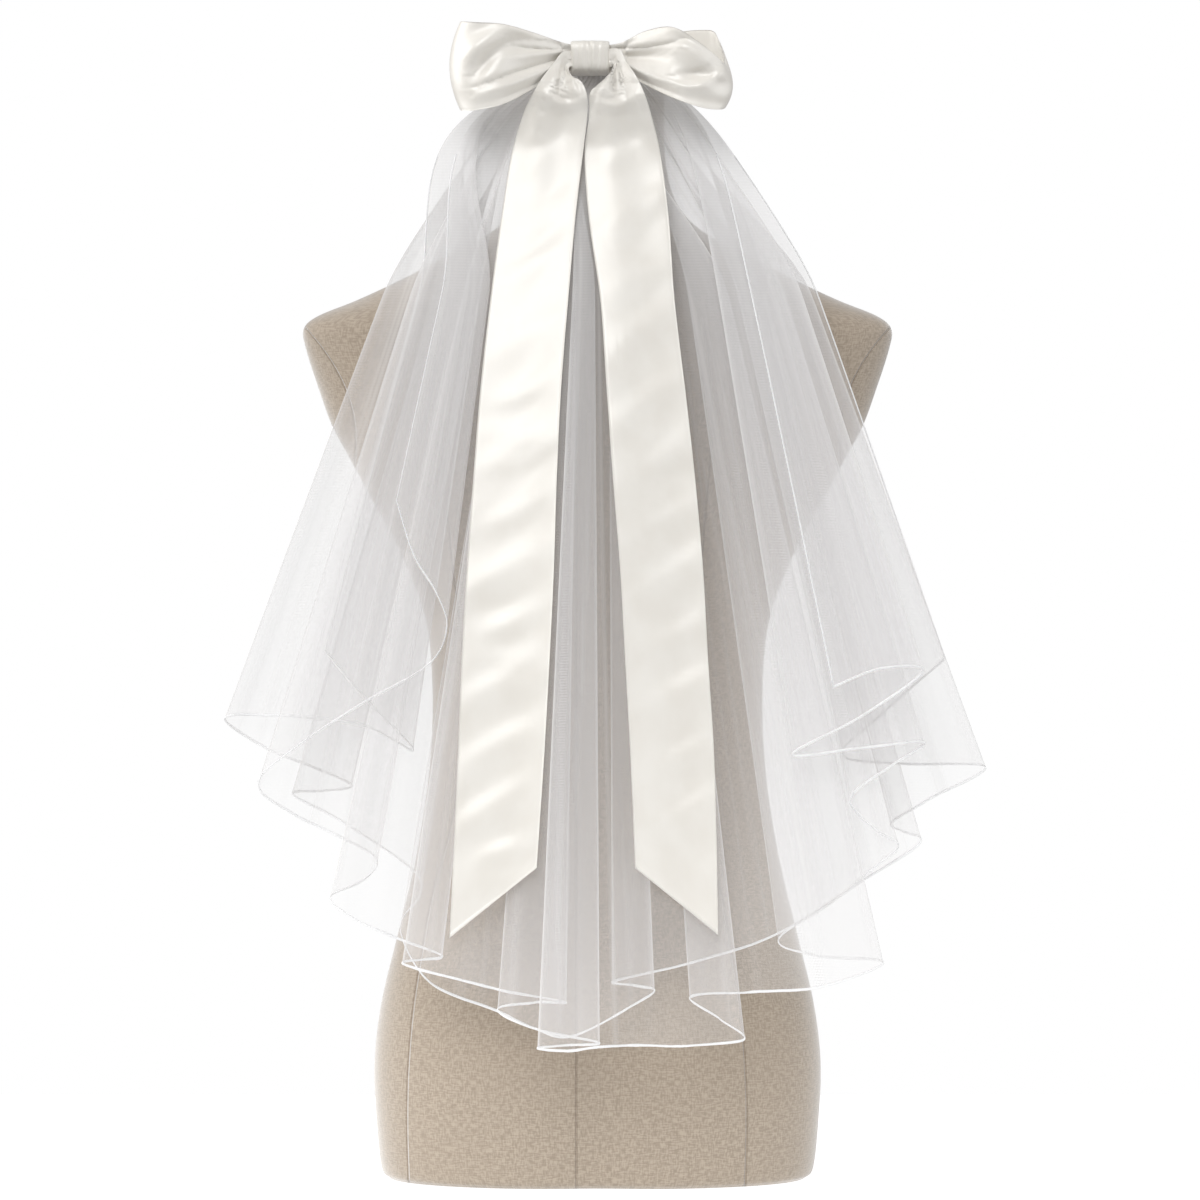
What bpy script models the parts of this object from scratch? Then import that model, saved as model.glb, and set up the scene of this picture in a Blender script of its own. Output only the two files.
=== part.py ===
import math

import bpy
import numpy as np

# All sizes are in millimetres, and the meshes are made in metres
MM = 0.001

# The tables give sizes as seen square on from this far, so a nearer point is drawn in by its depth
EYE_DISTANCE = 4000.0
EYE_HEIGHT = 402.5

# Tulle and satin walls
TULLE = 1.2
SATIN = 1.6
SEAM_GAP = 0.3

# Gather at the nape
GATHER_TOP = 780.0
NECK_RADIUS = 47.0
BAND_THICK = 3.0
BAND_LOW = 762.0
BAND_HIGH = 784.0
BAND_RADIUS = 150.0
BAND_TURN = 15.5
NEAR_TURN = 14.0
FAR_TURN = 14.0

# How the tulle leaves the gather: a short upright part, a puff, then straight fall lines
UPRIGHT = 16.0
PUFF_SHARE = 0.29
PUFF_LENGTH = 25.0
FALL_LENGTH = 450.0
EVEN_LEFT = 1.0
EVEN_RIGHT = 0.66
REACH = 1.2
REACH_LENGTH = 250.0
FOLD_START = 20.0
FOLD_LENGTH = 150.0

# Mesh fineness
HEM_STEPS = 2
PUFF_ROWS = (0.0, 16.0, 27.0, 45.0, 75.0)
FALL_ROWS = (0.16, 0.34, 0.55, 0.78, 1.0)
FORM_SEGMENTS = 32

# Dress form, bottom to top: height, half width, back depth, front depth, squareness
FORM = (
    (0.0, 146.0, -99.0, 88.0, 2.4),
    (7.0, 151.5, -105.0, 93.0, 2.4),
    (40.0, 155.0, -111.0, 97.0, 2.4),
    (80.0, 156.5, -114.0, 99.0, 2.4),
    (122.0, 151.5, -112.0, 99.0, 2.4),
    (170.0, 140.0, -103.0, 98.0, 2.3),
    (225.0, 127.0, -89.0, 97.0, 2.3),
    (285.0, 118.0, -78.0, 96.0, 2.3),
    (340.0, 116.0, -75.0, 97.0, 2.3),
    (390.0, 121.0, -77.0, 104.0, 2.3),
    (437.0, 139.0, -82.0, 118.0, 2.3),
    (472.0, 158.0, -85.0, 124.0, 2.3),
    (500.0, 173.0, -86.0, 120.0, 2.3),
    (524.0, 186.0, -82.0, 110.0, 2.3),
    (550.0, 195.5, -77.0, 98.0, 2.4),
    (578.0, 204.5, -70.0, 82.0, 2.5),
    (592.0, 206.0, -67.0, 76.0, 2.5),
    (601.0, 196.0, -65.0, 72.0, 2.4),
    (612.0, 169.0, -63.0, 66.0, 2.3),
    (626.0, 139.0, -60.5, 60.0, 2.2),
    (643.0, 106.0, -57.5, 54.0, 2.1),
    (656.0, 81.0, -55.0, 51.0, 2.0),
    (668.0, 65.0, -53.0, 49.0, 2.0),
    (684.0, 54.0, -50.0, 48.0, 2.0),
    (706.0, 48.5, -48.0, 47.0, 2.0),
    (730.0, 47.0, -47.0, 47.0, 2.0),
    (776.0, 47.0, -47.0, 47.0, 2.0),
    (782.0, 43.0, -43.0, 43.0, 2.0),
)
FORM_CLEFT = 6.0
FORM_CLEFT_WIDTH = 30.0
FORM_CLEFT_HEIGHT = 150.0

# Hem of the near tier, left side edge to right side edge: across, height, depth of the fall line
NEAR_HEM = (
    (-141.0, 472.0, -168.0),
    (-129.0, 434.0, -171.0),
    (-113.0, 407.0, -172.0),
    (-105.5, 383.0, -168.0),
    (-118.0, 357.0, -162.0),
    (-164.0, 330.0, -157.0),
    (-208.0, 301.0, -150.0),
    (-237.5, 274.0, -140.0),
    (-215.0, 253.0, -131.0),
    (-180.0, 236.0, -128.0),
    (-154.5, 220.0, -131.0),
    (-165.0, 205.0, -136.0),
    (-187.0, 194.0, -141.0),
    (-173.0, 180.0, -147.0),
    (-140.0, 165.0, -147.0),
    (-109.0, 153.0, -149.0),
    (-122.0, 150.0, -155.0),
    (-136.0, 147.0, -160.0),
    (-97.0, 136.0, -165.0),
    (-60.0, 127.0, -161.0),
    (-22.0, 120.0, -160.0),
    (-44.0, 120.0, -166.0),
    (-70.0, 115.0, -171.0),
    (-42.0, 101.0, -175.0),
    (1.0, 92.0, -175.0),
    (-18.0, 90.0, -181.0),
    (-42.0, 88.0, -186.0),
    (-21.0, 86.0, -191.0),
    (2.0, 89.0, -187.0),
    (28.0, 90.0, -174.0),
    (60.0, 89.5, -176.0),
    (102.5, 94.0, -168.0),
    (86.0, 108.0, -160.0),
    (65.0, 124.0, -154.0),
    (106.0, 127.0, -147.0),
    (156.0, 131.0, -149.0),
    (200.5, 148.0, -141.0),
    (152.0, 153.0, -134.0),
    (127.0, 164.0, -128.0),
    (164.0, 190.0, -124.0),
    (196.0, 216.0, -127.0),
    (211.0, 230.0, -132.0),
    (196.0, 240.0, -137.0),
    (177.0, 262.0, -141.0),
    (203.0, 284.0, -144.0),
    (229.0, 302.0, -150.0),
    (184.0, 298.0, -159.0),
    (137.0, 294.0, -166.0),
    (186.0, 321.0, -171.0),
    (228.5, 352.0, -177.0),
    (200.0, 354.0, -184.0),
    (165.0, 341.0, -187.0),
)

# Hem of the far tier, left side edge to right side edge
FAR_HEM = (
    (-191.5, 367.0, -119.0),
    (-164.0, 334.0, -119.5),
    (-129.0, 297.0, -117.0),
    (-165.0, 314.0, -112.0),
    (-227.0, 321.0, -108.0),
    (-261.0, 319.0, -101.0),
    (-234.0, 299.0, -93.0),
    (-200.0, 285.0, -90.0),
    (-172.0, 272.0, -92.0),
    (-192.0, 268.0, -97.0),
    (-214.0, 266.0, -100.0),
    (-180.0, 247.0, -104.0),
    (-130.5, 214.0, -106.0),
    (-124.0, 196.0, -114.0),
    (-138.0, 172.0, -120.0),
    (-117.0, 134.0, -127.0),
    (-70.0, 114.0, -123.0),
    (-42.0, 101.0, -118.0),
    (-18.0, 96.0, -119.0),
    (21.0, 116.0, -125.0),
    (40.0, 128.0, -124.0),
    (26.0, 132.0, -118.0),
    (11.5, 135.0, -113.0),
    (62.0, 147.0, -109.0),
    (124.0, 167.0, -111.0),
    (186.0, 205.0, -112.0),
    (226.0, 232.0, -111.0),
    (214.0, 240.0, -107.0),
    (206.0, 246.0, -105.0),
    (232.0, 262.0, -103.0),
    (272.0, 285.0, -99.0),
    (217.0, 287.0, -95.0),
    (172.0, 293.0, -92.5),
    (196.0, 319.0, -90.0),
    (244.0, 361.0, -89.0),
)

# Bow loops, front knot end round to back knot end: across, top, bottom, depth, cupping
LEFT_LOOP = (
    (-14.5, 790.4, 773.0, -70.5, 0.0),
    (-26.0, 793.2, 771.8, -78.0, 0.0),
    (-44.0, 799.5, 761.0, -95.0, 0.0),
    (-65.0, 805.5, 750.0, -108.0, 0.0),
    (-84.0, 807.0, 745.5, -110.0, 2.0),
    (-94.0, 807.5, 745.0, -103.0, 5.0),
    (-95.0, 807.5, 745.5, -92.0, 8.0),
    (-90.0, 807.0, 746.5, -83.0, 5.0),
    (-76.0, 805.5, 748.0, -78.5, 2.0),
    (-56.0, 800.0, 754.0, -73.5, 0.0),
    (-34.0, 793.5, 768.0, -67.0, 0.0),
    (-14.5, 789.6, 772.3, -63.0, 0.0),
)
RIGHT_LOOP = (
    (4.5, 790.4, 773.0, -70.5, 0.0),
    (17.5, 793.0, 772.0, -78.0, 0.0),
    (34.0, 801.0, 763.0, -95.0, 0.0),
    (53.0, 803.5, 754.0, -108.0, 0.0),
    (72.0, 791.5, 748.5, -110.0, 0.0),
    (86.0, 782.0, 746.5, -103.0, 3.0),
    (90.5, 784.0, 749.0, -92.0, 4.0),
    (86.5, 796.0, 748.0, -83.0, 2.0),
    (77.0, 801.5, 750.0, -78.5, 0.0),
    (60.0, 800.5, 754.0, -73.5, 0.0),
    (34.0, 795.5, 765.0, -67.0, 0.0),
    (4.5, 789.1, 772.8, -63.0, 0.0),
)
LOOP_ROWS = 6
LOOP_CREASE = 2.2

# Knot band: centre across and height, and its half sizes
KNOT_ACROSS = -5.2
KNOT_HEIGHT = 783.3
KNOT_HALF_WIDTH = 13.3
KNOT_HALF_HEIGHT = 11.2
KNOT_BACK = -53.9
KNOT_FRONT = -87.0
KNOT_SEGMENTS = 24
KNOT_COLUMNS = 9
KNOT_RUCHE = 0.7

# Tails, top to end: left edge across and height, right edge across and height, proud of the fall
LEFT_TAIL = (
    (-24.5, 786.0, -20.0, 775.0, 29.0),
    (-31.0, 778.0, -17.5, 768.5, 37.0),
    (-38.0, 769.0, -11.5, 765.5, 44.0),
    (-43.0, 761.0, -7.5, 757.0, 43.0),
    (-51.5, 744.0, -7.0, 743.0, 29.0),
    (-60.5, 713.0, -10.5, 712.0, 13.0),
    (-67.5, 669.0, -15.5, 669.0, 8.0),
    (-75.0, 612.5, -20.5, 612.5, 8.0),
    (-82.0, 549.5, -25.5, 549.5, 8.0),
    (-87.0, 486.5, -28.5, 486.5, 8.0),
    (-91.5, 423.5, -30.5, 423.5, 8.0),
    (-95.0, 360.5, -33.5, 360.5, 8.0),
    (-97.5, 297.5, -37.0, 297.5, 8.0),
    (-100.5, 230.0, -40.5, 245.0, 8.0),
    (-103.5, 166.0, -42.5, 215.0, 8.0),
)
RIGHT_TAIL = (
    (10.8, 774.5, 15.3, 788.0, 29.0),
    (5.4, 767.3, 20.5, 779.0, 37.0),
    (-1.0, 762.0, 27.0, 769.5, 44.0),
    (-5.5, 756.5, 33.0, 757.0, 43.0),
    (-6.0, 740.0, 38.0, 741.0, 29.0),
    (-9.0, 714.0, 44.0, 715.0, 13.0),
    (-6.0, 669.0, 50.0, 669.0, 8.0),
    (2.0, 612.5, 54.0, 612.5, 8.0),
    (6.5, 549.5, 61.5, 549.5, 8.0),
    (11.0, 486.5, 68.5, 486.5, 8.0),
    (16.0, 423.5, 74.0, 423.5, 8.0),
    (19.5, 360.5, 77.5, 360.5, 8.0),
    (23.0, 297.5, 81.5, 297.5, 8.0),
    (25.5, 240.0, 83.5, 230.0, 8.0),
    (26.5, 215.0, 84.5, 168.0, 8.0),
)
TAIL_COLUMNS = 8
TAIL_PLEAT = 3.0
TAIL_DEPTH = -168.0
TAIL_RIDGE = 18.0
TAIL_RIDGE_WIDTH = 40.0


def clear_scene():
    for thing in list(bpy.data.objects):
        bpy.data.objects.remove(thing, do_unlink=True)


def material(name, colour, roughness):
    made = bpy.data.materials.new(name)
    made.use_nodes = True
    node = made.node_tree.nodes["Principled BSDF"]
    node.inputs["Base Color"].default_value = (*colour, 1.0)
    node.inputs["Roughness"].default_value = roughness
    return made


def add_object(name, points, faces, look):
    mesh = bpy.data.meshes.new(name)
    scaled = np.asarray(points, float) * MM
    mesh.from_pydata([tuple(p) for p in scaled], [], [tuple(f) for f in faces])
    mesh.validate()
    mesh.update()
    mesh.materials.append(look)
    thing = bpy.data.objects.new(name, mesh)
    bpy.context.scene.collection.objects.link(thing)
    return thing


# Where a point seen at this place really is, at its depth
def at_depth(across, height, depth):
    near = 1.0 + depth / EYE_DISTANCE
    return across * near, EYE_HEIGHT + (height - EYE_HEIGHT) * near


# A smooth curve through the rows of a table, with this many steps a row
def smooth_rows(rows, steps):
    rows = np.asarray(rows, float)
    ends = np.vstack([2 * rows[0] - rows[1], rows, 2 * rows[-1] - rows[-2]])
    out = []
    for i in range(1, len(ends) - 2):
        a, b, c, d = ends[i - 1], ends[i], ends[i + 1], ends[i + 2]
        for k in range(steps):
            t = k / steps
            out.append(
                0.5
                * (
                    2 * b
                    + (c - a) * t
                    + (2 * a - 5 * b + 4 * c - d) * t * t
                    + (3 * b - a - 3 * c + d) * t**3
                )
            )
    out.append(ends[-2])
    return np.array(out)


# How far the fall lines have spread this far below the gather
def spread(drop):
    below = np.maximum(drop - UPRIGHT, 0.0)
    return PUFF_SHARE * (1 - np.exp(-below / PUFF_LENGTH)) + (1 - PUFF_SHARE) * below / FALL_LENGTH


def reach(drop):
    below = np.maximum(drop - UPRIGHT, 0.0)
    return REACH * (1 - np.exp(-below / REACH_LENGTH))


def eased(value):
    value = np.clip(value, 0.0, 1.0)
    return value * value * (3 - 2 * value)


# The line that the tulle is gathered on, this far off the neck
def gather_line(off_neck, turns):
    across = BAND_RADIUS * np.sin(turns)
    depth = BAND_RADIUS * (1 - np.cos(turns)) - NECK_RADIUS - off_neck
    return across, depth


# The middle surface of a tier: a column for each hem step, rows down the puff and then down the fall
def veil_surface(hem_table, off_neck, turn, steps, upper, lower):
    hem = smooth_rows(hem_table, steps)
    step = np.linalg.norm(np.diff(hem, axis=0), axis=1)
    along = np.concatenate([[0.0], np.cumsum(step)]) / step.sum()
    gather_x, gather_y = gather_line(off_neck, np.radians(turn) * (2 * along - 1))
    drop = GATHER_TOP - hem[:, 1]
    depth = gather_y + reach(drop) * (hem[:, 2] - gather_y)
    across, height = at_depth(hem[:, 0], hem[:, 1], depth)
    drop = GATHER_TOP - height
    out_x = (across - gather_x) / spread(drop)
    out_y = (depth - gather_y) / reach(drop)
    even = np.interp(along, [0.0, 1.0], [out_x.min() * EVEN_LEFT, out_x.max() * EVEN_RIGHT])
    falls = [np.full(len(hem), u) for u in upper]
    falls += [upper[-1] + (drop - upper[-1]) * s for s in lower]
    grid = np.zeros((len(hem), len(falls), 3))
    for j, fall in enumerate(falls):
        folded = eased((fall - FOLD_START) / FOLD_LENGTH)
        grid[:, j, 0] = gather_x + spread(fall) * (even + (out_x - even) * folded)
        grid[:, j, 1] = gather_y + reach(fall) * out_y
        grid[:, j, 2] = GATHER_TOP - fall
    return grid


# A closed wall of even thickness about a grid of middle points
def wall(grid, thick):
    along = np.gradient(grid, axis=0)
    down = np.gradient(grid, axis=1)
    normal = np.cross(along, down)
    normal /= np.maximum(np.linalg.norm(normal, axis=2, keepdims=True), 1e-9)
    m, n = grid.shape[:2]
    front = (grid + normal * thick / 2).reshape(-1, 3)
    back = (grid - normal * thick / 2).reshape(-1, 3)
    points = np.vstack([front, back])
    faces = []
    for i in range(m - 1):
        for j in range(n - 1):
            a, b, c, d = i * n + j, (i + 1) * n + j, (i + 1) * n + j + 1, i * n + j + 1
            faces.append((a, b, c, d))
            faces.append((d + m * n, c + m * n, b + m * n, a + m * n))
    rim = [i * n for i in range(m)]
    rim += [(m - 1) * n + j for j in range(1, n)]
    rim += [i * n + n - 1 for i in range(m - 2, -1, -1)]
    rim += [j for j in range(n - 2, 0, -1)]
    for k, a in enumerate(rim):
        b = rim[(k + 1) % len(rim)]
        faces.append((a, a + m * n, b + m * n, b))
    return points, faces


# Turns a closed mesh to face out
def facing_out(points, faces):
    total = 0.0
    for f in faces:
        for k in range(1, len(f) - 1):
            a, b, c = points[f[0]], points[f[k]], points[f[k + 1]]
            total += float(np.dot(a, np.cross(b, c)))
    return faces if total > 0 else [tuple(reversed(f)) for f in faces]


def form_point(row, angle):
    height, half, back, front, square = row
    c, s = math.cos(angle), math.sin(angle)
    x = half * math.copysign(abs(c) ** (2 / square), c)
    y = (front if s > 0 else -back) * math.copysign(abs(s) ** (2 / square), s)
    if s < 0:
        low = max(0.0, 1 - height / FORM_CLEFT_HEIGHT)
        y += FORM_CLEFT * low * math.exp(-((x / FORM_CLEFT_WIDTH) ** 2))
    return x, y, height


def build_form(look):
    n = FORM_SEGMENTS
    points = [form_point(r, 2 * math.pi * k / n) for r in FORM for k in range(n)]
    faces = []
    for i in range(len(FORM) - 1):
        for k in range(n):
            a, b = i * n + k, i * n + (k + 1) % n
            faces.append((a, b, b + n, a + n))
    low, high = len(points), len(points) + 1
    points.append((0.0, 0.0, FORM[0][0]))
    points.append((0.0, 0.0, FORM[-1][0] + 2.0))
    top = (len(FORM) - 1) * n
    for k in range(n):
        faces.append(((k + 1) % n, k, low))
        faces.append((top + k, top + (k + 1) % n, high))
    points = np.array(points)
    return add_object("dress_form", points, facing_out(points, faces), look)


def build_band(look):
    turns = np.radians(np.linspace(-BAND_TURN, BAND_TURN, 13))
    across, depth = gather_line(SEAM_GAP + BAND_THICK / 2, turns)
    heights = np.linspace(BAND_HIGH, BAND_LOW, 3)
    grid = np.array([[(x, y, z) for z in heights] for x, y in zip(across, depth)])
    points, faces = wall(grid, BAND_THICK)
    return add_object("gather_band", points, facing_out(points, faces), look)


def build_tier(name, hem, off_neck, turn, look):
    grid = veil_surface(hem, off_neck, turn, HEM_STEPS, PUFF_ROWS, FALL_ROWS)
    points, faces = wall(grid, TULLE)
    return add_object(name, points, facing_out(points, faces), look)


def build_loop(name, table, steps, look):
    rows = smooth_rows(table, steps)
    grid = []
    for k, (across, top, bottom, depth, cup) in enumerate(rows):
        out = math.copysign(1.0, across - KNOT_ACROSS)
        open_share = min(1.0, abs(across - KNOT_ACROSS) / 60.0)
        line = []
        for j in range(LOOP_ROWS + 1):
            w = 2 * j / LOOP_ROWS - 1
            height = (top + bottom) / 2 - w * (top - bottom) / 2
            crease = LOOP_CREASE * (1 - 0.6 * open_share) * math.cos(2.5 * math.pi * w)
            y = depth + (crease if k < len(rows) / 2 and k > 1 else 0.0)
            x, z = at_depth(across + out * cup * (1 - w * w), height, y)
            line.append((x, y, z))
        grid.append(line)
    points, faces = wall(np.array(grid), SATIN)
    return add_object(name, points, facing_out(points, faces), look)


# A band with open ends, wrapped round the pinched loops
def build_knot(look):
    middle_y = (KNOT_BACK + KNOT_FRONT) / 2
    half_y = (KNOT_BACK - KNOT_FRONT) / 2
    middle_x, middle_z = at_depth(KNOT_ACROSS, KNOT_HEIGHT, KNOT_FRONT)
    outer, inner = [], []
    for i in range(KNOT_COLUMNS):
        t = 2 * i / (KNOT_COLUMNS - 1) - 1
        x = middle_x + t * KNOT_HALF_WIDTH
        puff = 0.8 * (1 - t * t)
        ruche = KNOT_RUCHE * (1 if i % 2 else -1) * (abs(t) < 0.99)
        for k in range(KNOT_SEGMENTS):
            angle = 2 * math.pi * k / KNOT_SEGMENTS
            c, s = math.cos(angle), math.sin(angle)
            y = math.copysign(abs(c) ** 0.62, c)
            z = math.copysign(abs(s) ** 0.62, s)
            swell = (puff + ruche) * (0.0 if c > 0.3 else 1.0)
            tall = KNOT_HALF_HEIGHT + puff
            outer.append((x, middle_y + y * (half_y + swell), middle_z + z * tall))
            deep = half_y - SATIN + swell
            inner.append((x, middle_y + y * deep, middle_z + z * (tall - SATIN)))
    points = np.array(outer + inner)
    n, m, off = KNOT_SEGMENTS, KNOT_COLUMNS, KNOT_SEGMENTS * KNOT_COLUMNS
    faces = []
    for i in range(m - 1):
        for k in range(n):
            a, b = i * n + k, i * n + (k + 1) % n
            faces.append((a, b, b + n, a + n))
            faces.append((a + n + off, b + n + off, b + off, a + off))
    for k in range(n):
        a, b = k, (k + 1) % n
        faces.append((b, a, a + off, b + off))
        a, b = a + (m - 1) * n, b + (m - 1) * n
        faces.append((a, b, b + off, a + off))
    return add_object("knot_band", points, facing_out(points, faces), look)


def build_tail(name, table, steps, look):
    rows = smooth_rows(table, steps)
    radius = NECK_RADIUS + BAND_THICK + 3.0
    grid = []
    for lx, lz, rx, rz, proud in rows:
        line = []
        for j in range(TAIL_COLUMNS + 1):
            w = j / TAIL_COLUMNS
            across, height = lx + (rx - lx) * w, lz + (rz - lz) * w
            drop = max(GATHER_TOP - height, 0.0)
            pleat = TAIL_PLEAT * math.exp(-drop / 60.0) * math.cos(3 * math.pi * w) * min(1.0, drop / 12.0)
            ridge = TAIL_RIDGE * math.exp(-((across / TAIL_RIDGE_WIDTH) ** 2))
            y = -radius + reach(drop) * (TAIL_DEPTH + radius - ridge) - proud + pleat
            x, z = at_depth(across, height, y)
            line.append((x, y, z))
        grid.append(line)
    points, faces = wall(np.array(grid), SATIN)
    return add_object(name, points, facing_out(points, faces), look)


clear_scene()
LINEN = material("linen", (0.62, 0.53, 0.43), 0.85)
BAND = material("band_satin", (0.80, 0.78, 0.72), 0.5)
TULLE_NEAR = material("tulle_near", (0.88, 0.88, 0.90), 0.7)
TULLE_FAR = material("tulle_far", (0.84, 0.84, 0.87), 0.7)
LOOP_LEFT = material("satin_left_loop", (0.86, 0.83, 0.77), 0.35)
LOOP_RIGHT = material("satin_right_loop", (0.86, 0.83, 0.77), 0.35)
KNOT = material("satin_knot", (0.86, 0.83, 0.77), 0.35)
TAIL_LEFT = material("satin_left_tail", (0.86, 0.83, 0.77), 0.35)
TAIL_RIGHT = material("satin_right_tail", (0.86, 0.83, 0.77), 0.35)
FAR_OFF = SEAM_GAP + BAND_THICK + SEAM_GAP + TULLE / 2 + 0.1
NEAR_OFF = FAR_OFF + TULLE + SEAM_GAP + 0.1
build_form(LINEN)
build_band(BAND)
build_tier("veil_far", FAR_HEM, FAR_OFF, FAR_TURN, TULLE_FAR)
build_tier("veil_near", NEAR_HEM, NEAR_OFF, NEAR_TURN, TULLE_NEAR)
build_loop("bow_loop_left", LEFT_LOOP, 2, LOOP_LEFT)
build_loop("bow_loop_right", RIGHT_LOOP, 2, LOOP_RIGHT)
build_knot(KNOT)
build_tail("tail_left", LEFT_TAIL, 1, TAIL_LEFT)
build_tail("tail_right", RIGHT_TAIL, 1, TAIL_RIGHT)
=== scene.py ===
import math

import bmesh
import bpy
import numpy as np
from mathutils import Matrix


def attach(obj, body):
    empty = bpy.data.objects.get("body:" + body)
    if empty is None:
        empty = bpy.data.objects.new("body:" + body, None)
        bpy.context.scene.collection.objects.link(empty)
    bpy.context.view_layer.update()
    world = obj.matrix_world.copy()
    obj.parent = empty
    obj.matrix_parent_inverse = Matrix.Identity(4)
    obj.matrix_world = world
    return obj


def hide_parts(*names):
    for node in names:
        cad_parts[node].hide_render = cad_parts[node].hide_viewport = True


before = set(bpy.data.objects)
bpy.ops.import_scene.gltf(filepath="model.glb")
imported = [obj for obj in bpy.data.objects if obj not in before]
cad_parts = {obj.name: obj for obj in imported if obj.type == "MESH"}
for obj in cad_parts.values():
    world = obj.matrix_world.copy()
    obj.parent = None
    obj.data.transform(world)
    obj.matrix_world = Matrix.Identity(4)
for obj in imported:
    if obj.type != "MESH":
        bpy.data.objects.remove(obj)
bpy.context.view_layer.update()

# All sizes are in millimetres, and the meshes are made in metres
MM = 0.001

# The tables give sizes as seen from this far, so a nearer point is drawn in by its depth
EYE_DISTANCE = 4000.0
EYE_HEIGHT = 402.5

# Cloth thickness and seams
TULLE = 1.2
SATIN_SOLID = 1.6
SATIN = 1.0
SEAM_GAP = 0.3

# Gather at the nape
GATHER_TOP = 780.0
NECK_RADIUS = 47.0
BAND_THICK = 3.0
BAND_LOW = 762.0
BAND_HIGH = 784.0
BAND_RADIUS = 150.0
BAND_TURN = 15.5
TIER_TURN = 14.0
FAR_OFF = SEAM_GAP + BAND_THICK + SEAM_GAP + TULLE / 2 + 0.1
NEAR_OFF = FAR_OFF + TULLE + SEAM_GAP + 0.1

# How the tulle leaves the gather: a short upright part, a puff, then straight fall lines
UPRIGHT = 16.0
PUFF_SHARE = 0.29
PUFF_LENGTH = 25.0
FALL_LENGTH = 450.0
EVEN_LEFT = 1.0
EVEN_RIGHT = 0.66
REACH = 1.2
REACH_LENGTH = 250.0
FOLD_START = 20.0
FOLD_LENGTH = 150.0
PUFF_END = 75.0
PUFF_ROWS = 22
FALL_ROWS = 46
HEM_STEPS = 16
HEM_CROWDING = 0.75
DRIFT_LENGTH = 200.0

# How far the folds wander from an even spacing, in radians, and over what length
SHARED_WANDER = 1.8
SHARED_WANDER_LENGTH = 190.0
OWN_WANDER = 2.2
OWN_WANDER_LENGTH = 310.0

# Fine upright pleats at the gather: pitch and rise, and how far down they fade out
GATHER_PLEATS = ((2.9, 0.16), (1.45, 0.07))
GATHER_PLEATS_LENGTH = 45.0

# How much a tier covers: low down, at the gather, at most, and more on the edge of a fold
COVER_LOW = 0.20
COVER_HIGH = 0.84
COVER_MOST = 0.95
COVER_LENGTH = 90.0
CREST_COVER = 0.34
CREST_HALF_WIDTH = 1.3
CREST_START = 30.0
CREST_LENGTH = 60.0

# Fine creases down from the gather, and broad bands: spacing along the hem
LINE_SPACING = 17.0
BAND_SPACING = 70.0

# Hems: half width and half thickness of the lower hem and of the side edges, the row where the
# side edges start, and how uneven the lower one is
HEM_HALF = (0.85, 0.5)
EDGE_HALF = (0.5, 0.3)
EDGE_FIRST_ROW = 20
HEM_RING = 8
HEM_OFF = 0.9
HEM_ROUGH = 0.22
HEM_SHIFT = 0.35

# Net: turns a metre
NET_TURNS = 2 * math.pi * 1000.0 / 2.1

# Dress form, bottom to top: height, half width, back depth, front depth, squareness
FORM = (
    (0.0, 146.0, -99.0, 88.0, 2.4),
    (7.0, 151.5, -105.0, 93.0, 2.4),
    (40.0, 155.0, -111.0, 97.0, 2.4),
    (80.0, 156.5, -114.0, 99.0, 2.4),
    (122.0, 151.5, -112.0, 99.0, 2.4),
    (170.0, 140.0, -103.0, 98.0, 2.3),
    (225.0, 127.0, -89.0, 97.0, 2.3),
    (285.0, 118.0, -78.0, 96.0, 2.3),
    (340.0, 116.0, -75.0, 97.0, 2.3),
    (390.0, 121.0, -77.0, 104.0, 2.3),
    (437.0, 139.0, -82.0, 118.0, 2.3),
    (472.0, 158.0, -85.0, 124.0, 2.3),
    (500.0, 173.0, -86.0, 120.0, 2.3),
    (524.0, 186.0, -82.0, 110.0, 2.3),
    (550.0, 195.5, -77.0, 98.0, 2.4),
    (578.0, 204.5, -70.0, 82.0, 2.5),
    (592.0, 206.0, -67.0, 76.0, 2.5),
    (601.0, 196.0, -65.0, 72.0, 2.4),
    (612.0, 169.0, -63.0, 66.0, 2.3),
    (626.0, 139.0, -60.5, 60.0, 2.2),
    (643.0, 106.0, -57.5, 54.0, 2.1),
    (656.0, 81.0, -55.0, 51.0, 2.0),
    (668.0, 65.0, -53.0, 49.0, 2.0),
    (684.0, 54.0, -50.0, 48.0, 2.0),
    (706.0, 48.5, -48.0, 47.0, 2.0),
    (730.0, 47.0, -47.0, 47.0, 2.0),
    (776.0, 47.0, -47.0, 47.0, 2.0),
    (782.0, 43.0, -43.0, 43.0, 2.0),
)
FORM_SEGMENTS = 160
FORM_STEPS = 6
FORM_INSET = 0.5
FORM_CAP = 2.0
FORM_CLEFT = 6.0
FORM_CLEFT_WIDTH = 30.0
FORM_CLEFT_HEIGHT = 150.0

# Seams of the form's cover, in metres: the middle one, how far off it the side ones are, as
# shares by height, and the armholes
SEAM_MIDDLE = -0.0144
SEAM_ACROSS = 0.118
SEAM_TOP = 0.80
ARMHOLE_LOW = 0.552
ARMHOLE_ACROSS = 0.176
ARMHOLE_LEAN = 0.45
ARMHOLE_CURVE = 6.0
ARMHOLE_START = (0.46, 0.48)
SEAM_FADE = (0.0003, 0.0010)
SEAM_SHARES = (
    (0.0, 0.98),
    (0.10, 0.98),
    (0.22, 0.88),
    (0.36, 0.68),
    (0.44, 0.66),
    (0.56, 0.74),
    (0.68, 0.78),
    (0.76, 0.70),
    (0.80, 0.52),
    (0.86, 0.30),
    (1.0, 0.24),
)

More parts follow.
